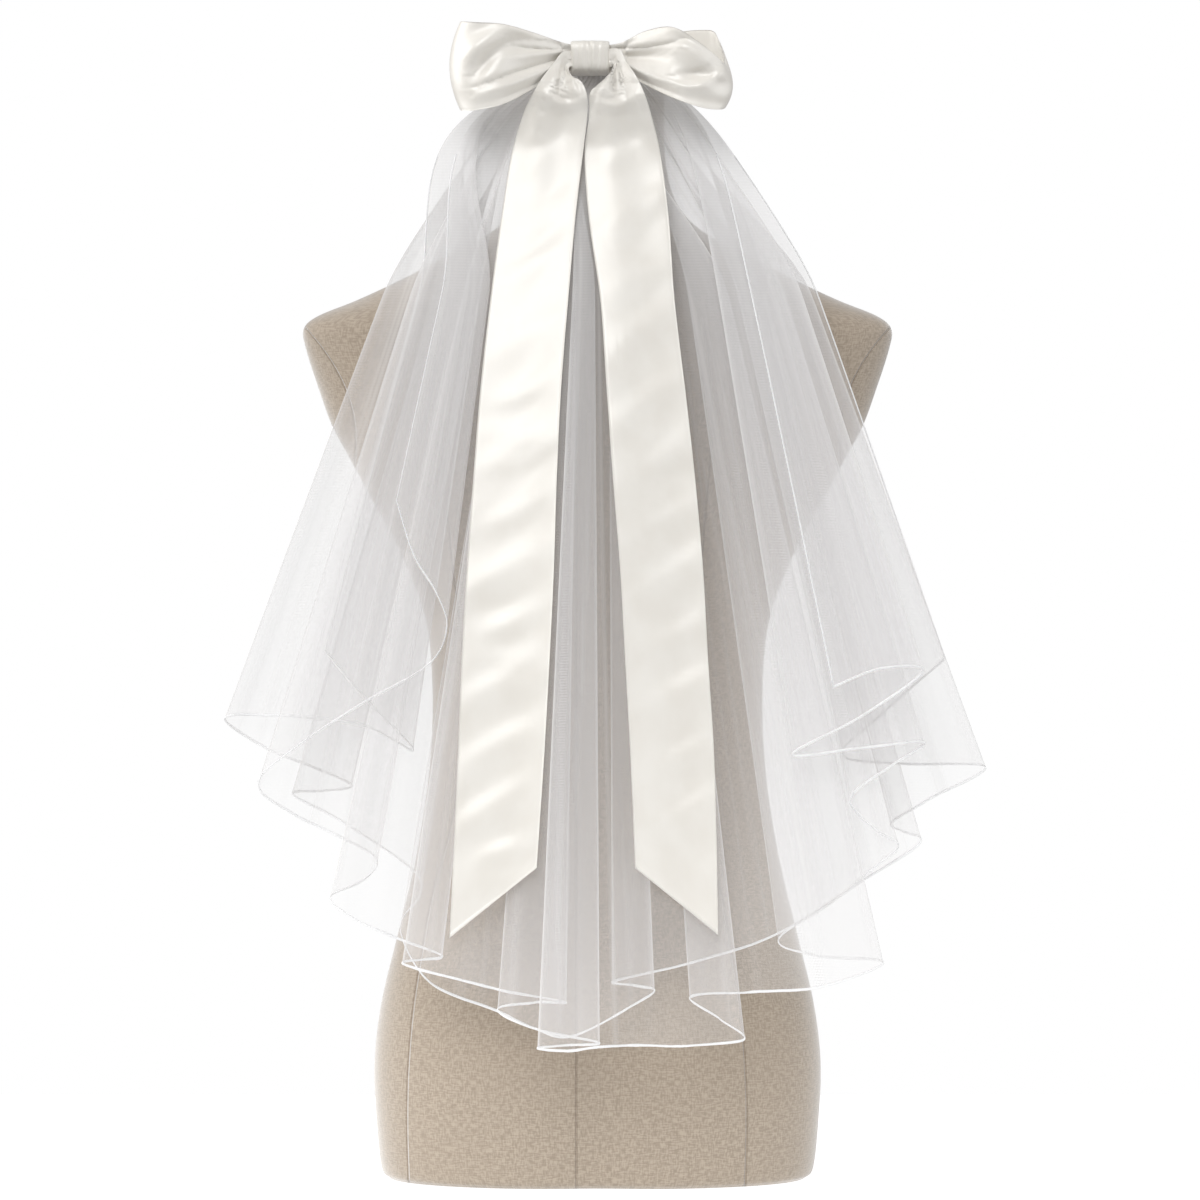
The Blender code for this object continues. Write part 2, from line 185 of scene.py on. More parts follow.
# Hem of the near tier, left side edge to right side edge: across, height, depth of the fall line
NEAR_HEM = (
    (-141.0, 472.0, -168.0),
    (-129.0, 434.0, -171.0),
    (-113.0, 407.0, -172.0),
    (-105.5, 383.0, -168.0),
    (-118.0, 357.0, -162.0),
    (-164.0, 330.0, -157.0),
    (-208.0, 301.0, -150.0),
    (-237.5, 274.0, -140.0),
    (-215.0, 253.0, -131.0),
    (-180.0, 236.0, -128.0),
    (-154.5, 220.0, -131.0),
    (-165.0, 205.0, -136.0),
    (-187.0, 194.0, -141.0),
    (-173.0, 180.0, -147.0),
    (-140.0, 165.0, -147.0),
    (-109.0, 153.0, -149.0),
    (-122.0, 150.0, -155.0),
    (-136.0, 147.0, -160.0),
    (-97.0, 136.0, -165.0),
    (-60.0, 127.0, -161.0),
    (-22.0, 120.0, -160.0),
    (-44.0, 120.0, -166.0),
    (-70.0, 115.0, -171.0),
    (-42.0, 101.0, -175.0),
    (1.0, 92.0, -175.0),
    (-18.0, 90.0, -181.0),
    (-42.0, 88.0, -186.0),
    (-21.0, 86.0, -191.0),
    (2.0, 89.0, -187.0),
    (28.0, 90.0, -174.0),
    (60.0, 89.5, -176.0),
    (102.5, 94.0, -168.0),
    (86.0, 108.0, -160.0),
    (65.0, 124.0, -154.0),
    (106.0, 127.0, -147.0),
    (156.0, 131.0, -149.0),
    (200.5, 148.0, -141.0),
    (152.0, 153.0, -134.0),
    (127.0, 164.0, -128.0),
    (164.0, 190.0, -124.0),
    (196.0, 216.0, -127.0),
    (211.0, 230.0, -132.0),
    (196.0, 240.0, -137.0),
    (177.0, 262.0, -141.0),
    (203.0, 284.0, -144.0),
    (229.0, 302.0, -150.0),
    (184.0, 298.0, -159.0),
    (137.0, 294.0, -166.0),
    (186.0, 321.0, -171.0),
    (228.5, 352.0, -177.0),
    (200.0, 354.0, -184.0),
    (165.0, 341.0, -187.0),
)

# Hem of the far tier, left side edge to right side edge
FAR_HEM = (
    (-191.5, 367.0, -119.0),
    (-164.0, 334.0, -119.5),
    (-129.0, 297.0, -117.0),
    (-165.0, 314.0, -112.0),
    (-227.0, 321.0, -108.0),
    (-261.0, 319.0, -101.0),
    (-234.0, 299.0, -93.0),
    (-200.0, 285.0, -90.0),
    (-172.0, 272.0, -92.0),
    (-192.0, 268.0, -97.0),
    (-214.0, 266.0, -100.0),
    (-180.0, 247.0, -104.0),
    (-130.5, 214.0, -106.0),
    (-124.0, 196.0, -114.0),
    (-138.0, 172.0, -120.0),
    (-117.0, 134.0, -127.0),
    (-70.0, 114.0, -123.0),
    (-42.0, 101.0, -118.0),
    (-18.0, 96.0, -119.0),
    (21.0, 116.0, -125.0),
    (40.0, 128.0, -124.0),
    (26.0, 132.0, -118.0),
    (11.5, 135.0, -113.0),
    (62.0, 147.0, -109.0),
    (124.0, 167.0, -111.0),
    (186.0, 205.0, -112.0),
    (226.0, 232.0, -111.0),
    (214.0, 240.0, -107.0),
    (206.0, 246.0, -105.0),
    (232.0, 262.0, -103.0),
    (272.0, 285.0, -99.0),
    (217.0, 287.0, -95.0),
    (172.0, 293.0, -92.5),
    (196.0, 319.0, -90.0),
    (244.0, 361.0, -89.0),
)

# Bow loops, front knot end round to back knot end: across, top, bottom, depth, cupping
LEFT_LOOP = (
    (-14.5, 790.4, 773.0, -77.0, 0.0),
    (-26.0, 793.2, 771.8, -83.0, 0.0),
    (-44.0, 799.5, 761.0, -95.0, 0.0),
    (-65.0, 805.5, 750.0, -108.0, 0.0),
    (-84.0, 807.0, 745.5, -110.0, 2.0),
    (-94.0, 807.5, 745.0, -103.0, 5.0),
    (-95.0, 807.5, 745.5, -92.0, 8.0),
    (-90.0, 807.0, 746.5, -83.0, 5.0),
    (-76.0, 805.5, 748.0, -78.5, 2.0),
    (-56.0, 800.0, 754.0, -73.5, 0.0),
    (-34.0, 793.5, 768.0, -67.0, 0.0),
    (-14.5, 789.6, 772.3, -63.0, 0.0),
)
RIGHT_LOOP = (
    (4.5, 790.4, 773.0, -77.0, 0.0),
    (17.5, 793.0, 772.0, -83.0, 0.0),
    (34.0, 801.0, 763.0, -95.0, 0.0),
    (53.0, 803.5, 754.0, -108.0, 0.0),
    (72.0, 792.5, 747.5, -110.0, 0.0),
    (84.5, 782.0, 745.8, -104.0, 3.0),
    (88.5, 778.0, 746.5, -96.0, 5.5),
    (88.0, 786.0, 747.5, -89.0, 4.5),
    (83.5, 797.5, 748.0, -84.0, 2.0),
    (81.0, 800.6, 748.5, -82.0, 1.0),
    (76.0, 801.5, 750.0, -79.0, 0.0),
    (60.0, 800.5, 754.0, -73.5, 0.0),
    (34.0, 795.5, 765.0, -67.0, 0.0),
    (4.5, 789.1, 772.8, -63.0, 0.0),
)
LOOP_STEPS = 14
LOOP_COLUMNS = 56
LOOP_CREASE = 2.2
LOOP_WAVES = 2.5
LOOP_OPEN_BY = 60.0
LOOP_FRONT_END = 0.36
LOOP_FRONT_FADE = 0.16
LOOP_KNOT_CLEAR = 12.0
LOOP_KNOT_FADE = 10.0
LOOP_PINCH_START = 0.09
LOOP_HALF_CLOTH = 32.0

# Creases on the bow's front layers: start, bend and end as across and height, half width, push
# towards the eye, sharpness
LEFT_LOOP_CREASES = (
    (-24.0, 791.5, -46.0, 796.0, -62.0, 803.0, 3.6, 2.6, 2.0),
    (-21.0, 788.5, -38.0, 786.5, -60.0, 790.5, 2.4, -4.2, 1.3),
    (-52.0, 805.0, -86.0, 799.0, -99.0, 770.0, 8.0, 4.6, 2.0),
    (-46.0, 795.0, -76.0, 794.0, -84.0, 770.0, 7.0, -4.4, 2.0),
    (-60.0, 783.0, -72.0, 782.0, -82.0, 760.0, 7.5, 3.6, 2.0),
    (-24.0, 785.5, -40.0, 786.0, -58.0, 782.0, 4.4, 3.2, 2.0),
    (-21.0, 782.0, -44.0, 778.0, -84.0, 762.5, 2.8, -3.8, 1.4),
    (-26.0, 777.0, -50.0, 768.0, -84.0, 755.0, 4.2, 3.4, 1.8),
    (-28.0, 773.0, -48.0, 761.0, -66.0, 754.0, 2.4, -1.8, 1.6),
)
RIGHT_LOOP_CREASES = (
    (12.0, 791.5, 34.0, 797.0, 56.0, 801.0, 4.0, 2.6, 2.0),
    (11.0, 789.0, 38.0, 788.0, 62.0, 796.0, 2.4, -4.2, 1.3),
    (20.0, 783.0, 36.0, 782.0, 54.0, 789.0, 6.5, -4.4, 2.0),
    (12.0, 782.0, 34.0, 769.0, 60.0, 762.5, 3.4, 4.6, 1.5),
    (58.0, 762.0, 78.0, 761.0, 90.0, 775.0, 4.0, 3.8, 1.8),
    (56.0, 770.0, 70.0, 770.0, 80.0, 777.0, 5.0, -3.2, 2.0),
    (50.0, 794.0, 66.0, 791.0, 84.0, 778.0, 4.5, 2.8, 2.0),
    (14.0, 777.0, 32.0, 764.5, 56.0, 757.0, 2.6, -2.6, 1.5),
)

# Knot band: centre across and height, and its half sizes
KNOT_ACROSS = -5.2
KNOT_HEIGHT = 783.3
KNOT_HALF_WIDTH = 13.3
KNOT_HALF_HEIGHT = 11.2
KNOT_BACK = -53.9
KNOT_FRONT = -87.0
KNOT_SEGMENTS = 128
KNOT_COLUMNS = 72
KNOT_SAG = 3.0
KNOT_SQUARE = 0.45
KNOT_PUFF = 0.3
KNOT_THICK = SATIN_SOLID - 0.3
KNOT_WANDER = 0.05
KNOT_RIM = 0.12
KNOT_EDGE = 0.1

# Ruching of the knot: place across as a share of its half width, half width as a share, height
# of the pleat
KNOT_PLEATS = (
    (-0.82, 0.07, 0.35),
    (-0.58, 0.06, -0.32),
    (-0.36, 0.10, 0.38),
    (-0.16, 0.05, -0.26),
    (0.02, 0.06, -0.62),
    (0.16, 0.08, 0.42),
    (0.40, 0.05, -0.34),
    (0.60, 0.09, 0.34),
    (0.82, 0.06, -0.28),
)

# Tails, top to end: left edge across and height, right edge across and height, proud of the fall
LEFT_TAIL = (
    (-16.0, 787.0, -14.0, 777.0, 28.5),
    (-24.5, 786.0, -20.0, 775.0, 33.5),
    (-31.0, 778.0, -17.5, 768.5, 37.0),
    (-38.0, 769.0, -11.5, 765.5, 44.0),
    (-43.0, 761.0, -7.5, 757.0, 43.0),
    (-51.5, 744.0, -7.0, 743.0, 29.0),
    (-60.5, 713.0, -10.5, 712.0, 13.0),
    (-67.5, 669.0, -15.5, 669.0, 8.0),
    (-75.0, 612.5, -20.5, 612.5, 8.0),
    (-82.0, 549.5, -25.5, 549.5, 8.0),
    (-87.0, 486.5, -28.5, 486.5, 8.0),
    (-91.5, 423.5, -30.5, 423.5, 8.0),
    (-95.0, 360.5, -33.5, 360.5, 8.0),
    (-97.5, 297.5, -37.0, 297.5, 8.0),
    (-100.5, 230.0, -40.5, 245.0, 8.0),
    (-103.5, 166.0, -42.5, 215.0, 8.0),
)
RIGHT_TAIL = (
    (3.5, 777.0, 5.5, 788.0, 28.5),
    (10.8, 774.5, 15.3, 788.0, 33.5),
    (5.4, 767.3, 20.5, 779.0, 37.0),
    (-1.0, 762.0, 27.0, 769.5, 44.0),
    (-5.5, 756.5, 33.0, 757.0, 43.0),
    (-6.0, 740.0, 38.0, 741.0, 29.0),
    (-9.0, 714.0, 44.0, 715.0, 13.0),
    (-6.0, 669.0, 50.0, 669.0, 8.0),
    (2.0, 612.5, 54.0, 612.5, 8.0),
    (6.5, 549.5, 61.5, 549.5, 8.0),
    (11.0, 486.5, 68.5, 486.5, 8.0),
    (16.0, 423.5, 74.0, 423.5, 8.0),
    (19.5, 360.5, 77.5, 360.5, 8.0),
    (23.0, 297.5, 81.5, 297.5, 8.0),
    (25.5, 240.0, 83.5, 230.0, 8.0),
    (26.5, 215.0, 84.5, 168.0, 8.0),
)
TAIL_STEPS = 14
TAIL_COLUMNS = 40
TAIL_OFF = 3.0
TAIL_PLEAT = 3.0
TAIL_DEPTH = -168.0
TAIL_RIDGE = 18.0
TAIL_RIDGE_WIDTH = 40.0
TAIL_PLEAT_LENGTH = 60.0
TAIL_PLEAT_START = 12.0
TAIL_CRUMPLE_START = 40.0
TAIL_CLOTH = 58.0
TAIL_MIDDLE = TAIL_COLUMNS // 2

# Creases: how much steeper the upper side is than the lower, and the push at their ends
CREASE_STEEP = 0.65
CREASE_SOFT = 1.25
CREASE_END = 0.35
CREASE_STEPS = 25

# Crumpling of the satin: size, lean, and the fine and the broad lines
CRUMPLE = 0.5
CRUMPLE_LEAN = 0.6
CRUMPLE_FINE = 5.2
CRUMPLE_BROAD = 8.7

# Rounded long edges of a strip: where they start, as a share of its half width
ROUND_FROM = 0.93

# Crush marks on the tails, in the same columns as the bow's creases
LEFT_TAIL_CREASES = (
    (-23.0, 781.0, -27.0, 768.0, -27.0, 755.0, 3.6, -4.0, 1.7),
    (-20.0, 773.0, -17.0, 763.0, -13.0, 755.0, 3.0, 3.2, 1.8),
    (-38.0, 759.0, -26.0, 744.0, -9.0, 753.0, 4.4, 3.6, 1.8),
    (-38.0, 766.0, -42.0, 750.0, -44.0, 728.0, 3.6, 1.6, 2.0),
    (-12.0, 724.0, -34.0, 716.0, -52.0, 700.0, 11.0, 1.7, 2.0),
    (-16.0, 690.0, -36.0, 676.0, -62.0, 664.0, 10.0, 1.5, 2.0),
    (-18.0, 650.0, -40.0, 644.0, -66.0, 622.0, 12.0, 1.8, 2.0),
    (-22.0, 604.0, -44.0, 596.0, -76.0, 572.0, 11.0, 1.5, 2.0),
    (-26.0, 566.0, -50.0, 548.0, -72.0, 540.0, 9.0, 1.4, 2.0),
    (-26.0, 524.0, -52.0, 516.0, -82.0, 492.0, 12.0, 1.9, 2.0),
    (-30.0, 480.0, -54.0, 466.0, -84.0, 452.0, 9.0, 1.3, 2.0),
    (-31.0, 444.0, -60.0, 430.0, -90.0, 408.0, 12.0, 1.7, 2.0),
    (-34.0, 402.0, -60.0, 392.0, -86.0, 372.0, 8.0, 1.3, 2.0),
    (-34.0, 366.0, -62.0, 350.0, -94.0, 330.0, 12.0, 1.9, 2.0),
    (-38.0, 318.0, -64.0, 308.0, -96.0, 286.0, 10.0, 1.5, 2.0),
    (-40.0, 282.0, -66.0, 264.0, -98.0, 248.0, 11.0, 1.7, 2.0),
    (-44.0, 240.0, -70.0, 228.0, -100.0, 206.0, 9.0, 1.2, 2.0),
)
RIGHT_TAIL_CREASES = (
    (12.0, 781.0, 14.5, 768.0, 13.0, 754.0, 3.4, -4.0, 1.7),
    (7.0, 773.0, 4.0, 764.0, 0.0, 757.0, 3.0, 3.0, 1.8),
    (-2.0, 752.0, 14.0, 744.0, 28.0, 757.0, 4.6, 3.0, 1.8),
    (3.0, 764.0, 0.0, 750.0, -2.0, 736.0, 3.6, 1.8, 2.0),
    (20.0, 768.0, 28.0, 754.0, 34.0, 736.0, 3.6, 1.5, 2.0),
    (36.0, 724.0, 18.0, 712.0, -4.0, 704.0, 11.0, 2.5, 2.0),
    (46.0, 688.0, 26.0, 682.0, 0.0, 658.0, 11.0, 2.6, 2.0),
    (50.0, 642.0, 28.0, 630.0, 4.0, 620.0, 9.0, 2.0, 2.0),
    (56.0, 606.0, 30.0, 596.0, 6.0, 574.0, 12.0, 2.6, 2.0),
    (60.0, 556.0, 36.0, 548.0, 10.0, 528.0, 10.0, 2.3, 2.0),
    (66.0, 518.0, 42.0, 500.0, 14.0, 486.0, 12.0, 2.6, 2.0),
    (70.0, 470.0, 46.0, 462.0, 18.0, 442.0, 9.0, 1.9, 2.0),
    (73.0, 434.0, 48.0, 418.0, 20.0, 402.0, 12.0, 2.8, 2.0),
    (76.0, 390.0, 52.0, 376.0, 24.0, 366.0, 9.0, 2.0, 2.0),
    (79.0, 350.0, 54.0, 338.0, 26.0, 318.0, 12.0, 2.6, 2.0),
    (81.0, 306.0, 56.0, 292.0, 28.0, 280.0, 9.0, 2.0, 2.0),
    (82.0, 266.0, 58.0, 252.0, 30.0, 238.0, 10.0, 2.0, 2.0),
)

# Soft folds that all the layers of tulle share: length at the hem, rise, phase, drift down the fall
SHARED_FOLDS = (
    (71.0, 1.5, 0.4, 0.5),
    (43.0, 0.75, 2.1, -0.7),
    (27.5, 0.26, 4.0, 0.9),
)
OWN_FOLDS = (
    (29.0, 0.22, 0.9, 1.3),
    (16.3, 0.09, 3.3, -1.7),
)


def at_depth(across, height, depth):
    near = 1.0 + depth / EYE_DISTANCE
    return across * near, EYE_HEIGHT + (height - EYE_HEIGHT) * near


def smooth_rows(rows, steps, gather=0.0):
    rows = np.asarray(rows, float)
    ends = np.vstack([2 * rows[0] - rows[1], rows, 2 * rows[-1] - rows[-2]])
    out = []
    for i in range(1, len(ends) - 2):
        a, b, c, d = ends[i - 1], ends[i], ends[i + 1], ends[i + 2]
        for k in range(steps):
            t = k / steps
            t += gather * (t * t * (3 - 2 * t) - t)
            out.append(
                0.5
                * (
                    2 * b
                    + (c - a) * t
                    + (2 * a - 5 * b + 4 * c - d) * t * t
                    + (3 * b - a - 3 * c + d) * t**3
                )
            )
    out.append(ends[-2])
    return np.array(out)


def spread(drop):
    below = np.maximum(drop - UPRIGHT, 0.0)
    return PUFF_SHARE * (1 - np.exp(-below / PUFF_LENGTH)) + (1 - PUFF_SHARE) * below / FALL_LENGTH


def reach(drop):
    below = np.maximum(drop - UPRIGHT, 0.0)
    return REACH * (1 - np.exp(-below / REACH_LENGTH))


def eased(value):
    value = np.clip(value, 0.0, 1.0)
    return value * value * (3 - 2 * value)


def gather_line(off_neck, turns):
    across = BAND_RADIUS * np.sin(turns)
    depth = BAND_RADIUS * (1 - np.cos(turns)) - NECK_RADIUS - off_neck
    return across, depth


# The middle surface of a tier, with its place along the hem and its fall for each point
def veil_surface(hem_table, off_neck):
    hem = smooth_rows(hem_table, HEM_STEPS, HEM_CROWDING)
    step = np.linalg.norm(np.diff(hem, axis=0), axis=1)
    length = step.sum()
    along = np.concatenate([[0.0], np.cumsum(step)]) / length
    gather_x, gather_y = gather_line(off_neck, np.radians(TIER_TURN) * (2 * along - 1))
    drop = GATHER_TOP - hem[:, 1]
    depth = gather_y + reach(drop) * (hem[:, 2] - gather_y)
    across, height = at_depth(hem[:, 0], hem[:, 1], depth)
    drop = GATHER_TOP - height
    out_x = (across - gather_x) / spread(drop)
    out_y = (depth - gather_y) / reach(drop)
    ends = [out_x.min() * EVEN_LEFT, out_x.max() * EVEN_RIGHT]
    even = np.interp(along, [0.0, 1.0], ends)
    falls = [np.full(len(hem), u) for u in np.linspace(0.0, PUFF_END, PUFF_ROWS)]
    shares = np.linspace(0.0, 1.0, FALL_ROWS + 1)[1:]
    falls += [PUFF_END + (drop - PUFF_END) * share for share in shares]
    fall = np.array(falls).T
    folded = eased((fall - FOLD_START) / FOLD_LENGTH)
    grid = np.zeros(fall.shape + (3,))
    sideways = even[:, None] + (out_x - even)[:, None] * folded
    grid[:, :, 0] = gather_x[:, None] + spread(fall) * sideways
    grid[:, :, 1] = gather_y[:, None] + reach(fall) * out_y[:, None]
    grid[:, :, 2] = GATHER_TOP - fall
    full = 2 * math.pi
    width = spread(fall)
    for wave, rise, phase, drift in SHARED_FOLDS:
        turn = full * sideways / wave + phase + drift * fall / DRIFT_LENGTH
        turn += SHARED_WANDER * np.sin(full * sideways / SHARED_WANDER_LENGTH + 2 * phase)
        grid[:, :, 1] += rise * width * folded * np.sin(turn)
    for wave, rise, phase, drift in OWN_FOLDS:
        run = full * along[:, None] * length
        turn = run / wave + phase + drift * fall / DRIFT_LENGTH
        turn += OWN_WANDER * np.sin(run / OWN_WANDER_LENGTH + 3 * phase)
        grid[:, :, 1] += rise * width * folded * np.sin(turn)
    upright = 1.0 - eased((fall - UPRIGHT) / GATHER_PLEATS_LENGTH)
    for pitch, rise in GATHER_PLEATS:
        grid[:, :, 1] += rise * upright * np.sin(full * gather_x[:, None] / pitch)
    return grid, along * length, fall, hem


# Fine creases that run down from the gather, fading in and out at uneven falls
def gather_lines(along, fall, seed):
    rng = np.random.default_rng(seed + 100)
    total = np.zeros(fall.shape)
    for start in np.arange(0.0, along[-1], LINE_SPACING):
        middle = start + rng.uniform(0.0, LINE_SPACING)
        width = rng.uniform(2.2, 4.6)
        strength = rng.uniform(0.02, 0.14)
        begin, end = rng.uniform(10.0, 200.0), rng.uniform(350.0, 900.0)
        lean = rng.normal(0.0, 9.0)
        place = middle + lean * (fall - 300.0) / 300.0
        line = np.exp(-(((along[:, None] - place) / width) ** 2))
        line = strength * line * eased((fall - begin) / 60.0)
        total += line * (1 - eased((fall - end) / 120.0))
    for start in np.arange(0.0, along[-1], BAND_SPACING):
        middle = start + rng.uniform(0.0, BAND_SPACING)
        width = rng.uniform(14.0, 30.0)
        strength = rng.uniform(-0.02, 0.04)
        total += strength * np.exp(-(((along[:, None] - middle) / width) ** 2))
    return total


# Where a sheet turns back on itself: 1 on the fold's edge, 0 off it
def crest_of(grid, hem, half_width):
    across = hem[:, 0]
    rise = np.diff(across)
    tips = [i for i in range(1, len(across) - 1) if rise[i - 1] * rise[i] < 0]
    step = np.linalg.norm(np.diff(grid, axis=0), axis=2)
    along = np.concatenate([np.zeros((1, grid.shape[1])), np.cumsum(step, axis=0)])
    crest = np.zeros(grid.shape[:2])
    for i in tips:
        crest = np.maximum(crest, np.exp(-(((along - along[i]) / half_width) ** 2)))
    return crest


def unit(vectors):
    return vectors / np.maximum(np.linalg.norm(vectors, axis=-1, keepdims=True), 1e-9)


def normals_of(grid):
    return unit(np.cross(np.gradient(grid, axis=0), np.gradient(grid, axis=1)))


# The length run along a line of points, from 0 at its first point
def run_along(line):
    return np.concatenate([[0.0], np.cumsum(np.linalg.norm(np.diff(line, axis=0), axis=1))])


def quads(m, n, start=0):
    i, j = np.meshgrid(np.arange(m - 1), np.arange(n - 1), indexing="ij")
    a = i * n + j
    return np.stack([a, a + n, a + n + 1, a + 1], axis=-1).reshape(-1, 4) + start


def add_mesh(name, points, faces, material, uv, values=None):
    mesh = bpy.data.meshes.new(name)
    points = np.asarray(points, float).reshape(-1, 3) * MM
    mesh.from_pydata(points.tolist(), [], [list(map(int, f)) for f in faces])
    mesh.update()
    mesh.polygons.foreach_set("use_smooth", np.ones(len(mesh.polygons), bool))
    corner = np.zeros(len(mesh.loops), np.int32)
    mesh.loops.foreach_get("vertex_index", corner)
    layer = mesh.uv_layers.new(name="cloth")
    flat = np.asarray(uv, float)[corner] * MM
    layer.data.foreach_set("uv", flat.astype(np.float32).ravel())
    for key, value in (values or {}).items():
        attribute = mesh.attributes.new(key, "FLOAT", "POINT")
        attribute.data.foreach_set("value", np.asarray(value, np.float32).ravel())
    mesh.materials.append(material)
    thing = bpy.data.objects.new(name, mesh)
    bpy.context.scene.collection.objects.link(thing)
    return thing


# A closed strip of cloth about a grid of middle points, with rounded long edges
def strip_mesh(grid, thick):
    m, n = grid.shape[:2]
    w = np.abs(np.linspace(-1.0, 1.0, n))
    edge = np.clip((w - ROUND_FROM) / (1 - ROUND_FROM), 0.0, 1.0)
    half = thick / 2 * np.sqrt(np.maximum(1 - 0.9 * edge**2, 0.1))
    normal = normals_of(grid)
    front = grid + normal * half[None, :, None]
    back = grid - normal * half[None, :, None]
    points = np.concatenate([front.reshape(-1, 3), back.reshape(-1, 3)])
    faces = [quads(m, n)[:, ::-1], quads(m, n, m * n)]
    rim = [i * n for i in range(m)]
    rim += [(m - 1) * n + j for j in range(1, n)]
    rim += [i * n + n - 1 for i in range(m - 2, -1, -1)]
    rim += [j for j in range(n - 2, 0, -1)]
    rim = np.array(rim)
    turn = np.roll(rim, -1)
    faces.append(np.stack([turn, turn + m * n, rim + m * n, rim], axis=-1)[:, ::-1])
    faces = np.concatenate(faces)
    if signed_volume(points, faces) < 0:
        faces = faces[:, ::-1]
    return points, faces


# Only its sign is used: it tells whether the faces look outwards
def signed_volume(points, faces):
    a, b, c, d = (points[faces[:, k]] for k in range(4))
    return float((a * (np.cross(b, c) + np.cross(c, d))).sum())


# How far creases push each point, from where it is seen
def crease_push(across, height, table):
    push = np.zeros(across.shape)
    for x0, z0, x1, z1, x2, z2, width, depth, power in table:
        best = np.full(across.shape, 1e9)
        where = np.zeros(across.shape)
        above = np.zeros(across.shape, bool)
        for t in np.linspace(0.0, 1.0, CREASE_STEPS):
            x = (1 - t) ** 2 * x0 + 2 * t * (1 - t) * x1 + t * t * x2
            z = (1 - t) ** 2 * z0 + 2 * t * (1 - t) * z1 + t * t * z2
            gap = np.hypot(across - x, height - z)
            closer = gap < best
            best = np.where(closer, gap, best)
            where = np.where(closer, t, where)
            above = np.where(closer, height > z, above)
        swell = CREASE_END + (1 - CREASE_END) * np.sin(math.pi * where)
        side = width * np.where(above, CREASE_STEEP, CREASE_SOFT)
        push += depth * swell * np.exp(-((best / side) ** power))
    return push


# Slight crumpling of the satin, in lines from upper right to lower left
def crumple(across, height, phase):
    lean = height - CRUMPLE_LEAN * across
    wander = 2.0 * np.sin(height / 23.0 + phase) + 1.4 * np.sin(across / 11.0)
    fine = np.sin(lean / CRUMPLE_FINE + wander)
    wander = 1.7 * np.sin(height / 37.0 + 2 * phase) + 1.1 * np.sin(across / 17.0 + phase)
    broad = np.sin(lean / CRUMPLE_BROAD + wander)
    patch = 0.35 + 0.65 * np.sin(height / 53.0 + across / 31.0 + phase) ** 2
    return CRUMPLE * patch * (0.55 * fine + 0.65 * broad)


class Shader:
    def __init__(self, name):
        self.material = bpy.data.materials.new(name)
        self.material.use_nodes = True
        self.tree = self.material.node_tree
        self.tree.nodes.clear()
        self.output = self.tree.nodes.new("ShaderNodeOutputMaterial")

    def add(self, kind, inputs=None, **settings):
        node = self.tree.nodes.new(kind)
        for key, value in settings.items():
            setattr(node, key, value)
        for key, value in (inputs or {}).items():
            self.feed(node.inputs[key], value)
        return node

    def feed(self, socket, value):
        if isinstance(value, bpy.types.NodeSocket):
            self.tree.links.new(value, socket)
        else:
            socket.default_value = value

    def math(self, operation, a, b=0.0, c=0.0, clamp=False):
        node = self.add("ShaderNodeMath", {0: a, 1: b, 2: c}, operation=operation, use_clamp=clamp)
        return node.outputs[0]

    def uv(self, across, down):
        where = self.add("ShaderNodeUVMap", uv_map="cloth").outputs[0]
        by = {0: where, 1: (across, down, 1.0)}
        return self.add("ShaderNodeVectorMath", by, operation="MULTIPLY").outputs[0]

    def value(self, name):
        return self.add("ShaderNodeAttribute", attribute_name=name).outputs["Fac"]

    def ramp(self, value, low, high, to_low=0.0, to_high=1.0):
        ends = {0: value, 1: low, 2: high, 3: to_low, 4: to_high}
        return self.add("ShaderNodeMapRange", ends, interpolation_type="SMOOTHSTEP").outputs[0]

    def noise(self, vector, scale, detail):
        inputs = {"Vector": vector, "Scale": scale, "Detail": detail}
        return self.add("ShaderNodeTexNoise", inputs).outputs[0]

    def wave(self, vector, scale, distortion, **settings):
        inputs = {"Vector": vector, "Scale": scale, "Distortion": distortion}
        return self.add("ShaderNodeTexWave", inputs, **settings).outputs[1]

    def principled(self, colour, roughness, more):
        inputs = {"Base Color": colour, "Roughness": roughness, **more}
        return self.add("ShaderNodeBsdfPrincipled", inputs).outputs[0]

    def mix(self, share, a, b):
        node = self.add("ShaderNodeMix", data_type="RGBA")
        self.feed(node.inputs[0], share)
        self.feed(node.inputs[6], a)
        self.feed(node.inputs[7], b)
        return node.outputs[2]

    def bump(self, height, strength, distance, normal=None):
        inputs = {"Height": height, "Strength": strength, "Distance": distance}
        if normal is not None:
            inputs["Normal"] = normal
        return self.add("ShaderNodeBump", inputs).outputs[0]

    def finish(self, surface):
        self.feed(self.output.inputs[0], surface)
        return self.material


# Soft net: a fine diamond of threads, with the cloth's cover held as a value on its points
def tulle_material(name, tint):
    s = Shader(name)
    where = s.add("ShaderNodeSeparateXYZ", {0: s.uv(NET_TURNS, NET_TURNS)})
    up = s.math("SINE", s.math("ADD", where.outputs[0], where.outputs[1]))
    down = s.math("SINE", s.math("SUBTRACT", where.outputs[0], where.outputs[1]))
    net = s.math("MULTIPLY_ADD", s.math("MULTIPLY", up, down), 0.16, 1.0)
    alpha = s.math("MULTIPLY", s.value("cover"), net, clamp=True)
    front = s.principled(tint, 0.8, {"Sheen Weight": 0.1, "Specular IOR Level": 0.2})
    through = s.add("ShaderNodeBsdfTranslucent", {"Color": tint}).outputs[0]
    cloth = s.add("ShaderNodeMixShader", {0: 0.14, 1: front, 2: through}).outputs[0]
    clear = s.add("ShaderNodeBsdfTransparent").outputs[0]
    return s.finish(s.add("ShaderNodeMixShader", {0: alpha, 1: clear, 2: cloth}).outputs[0])


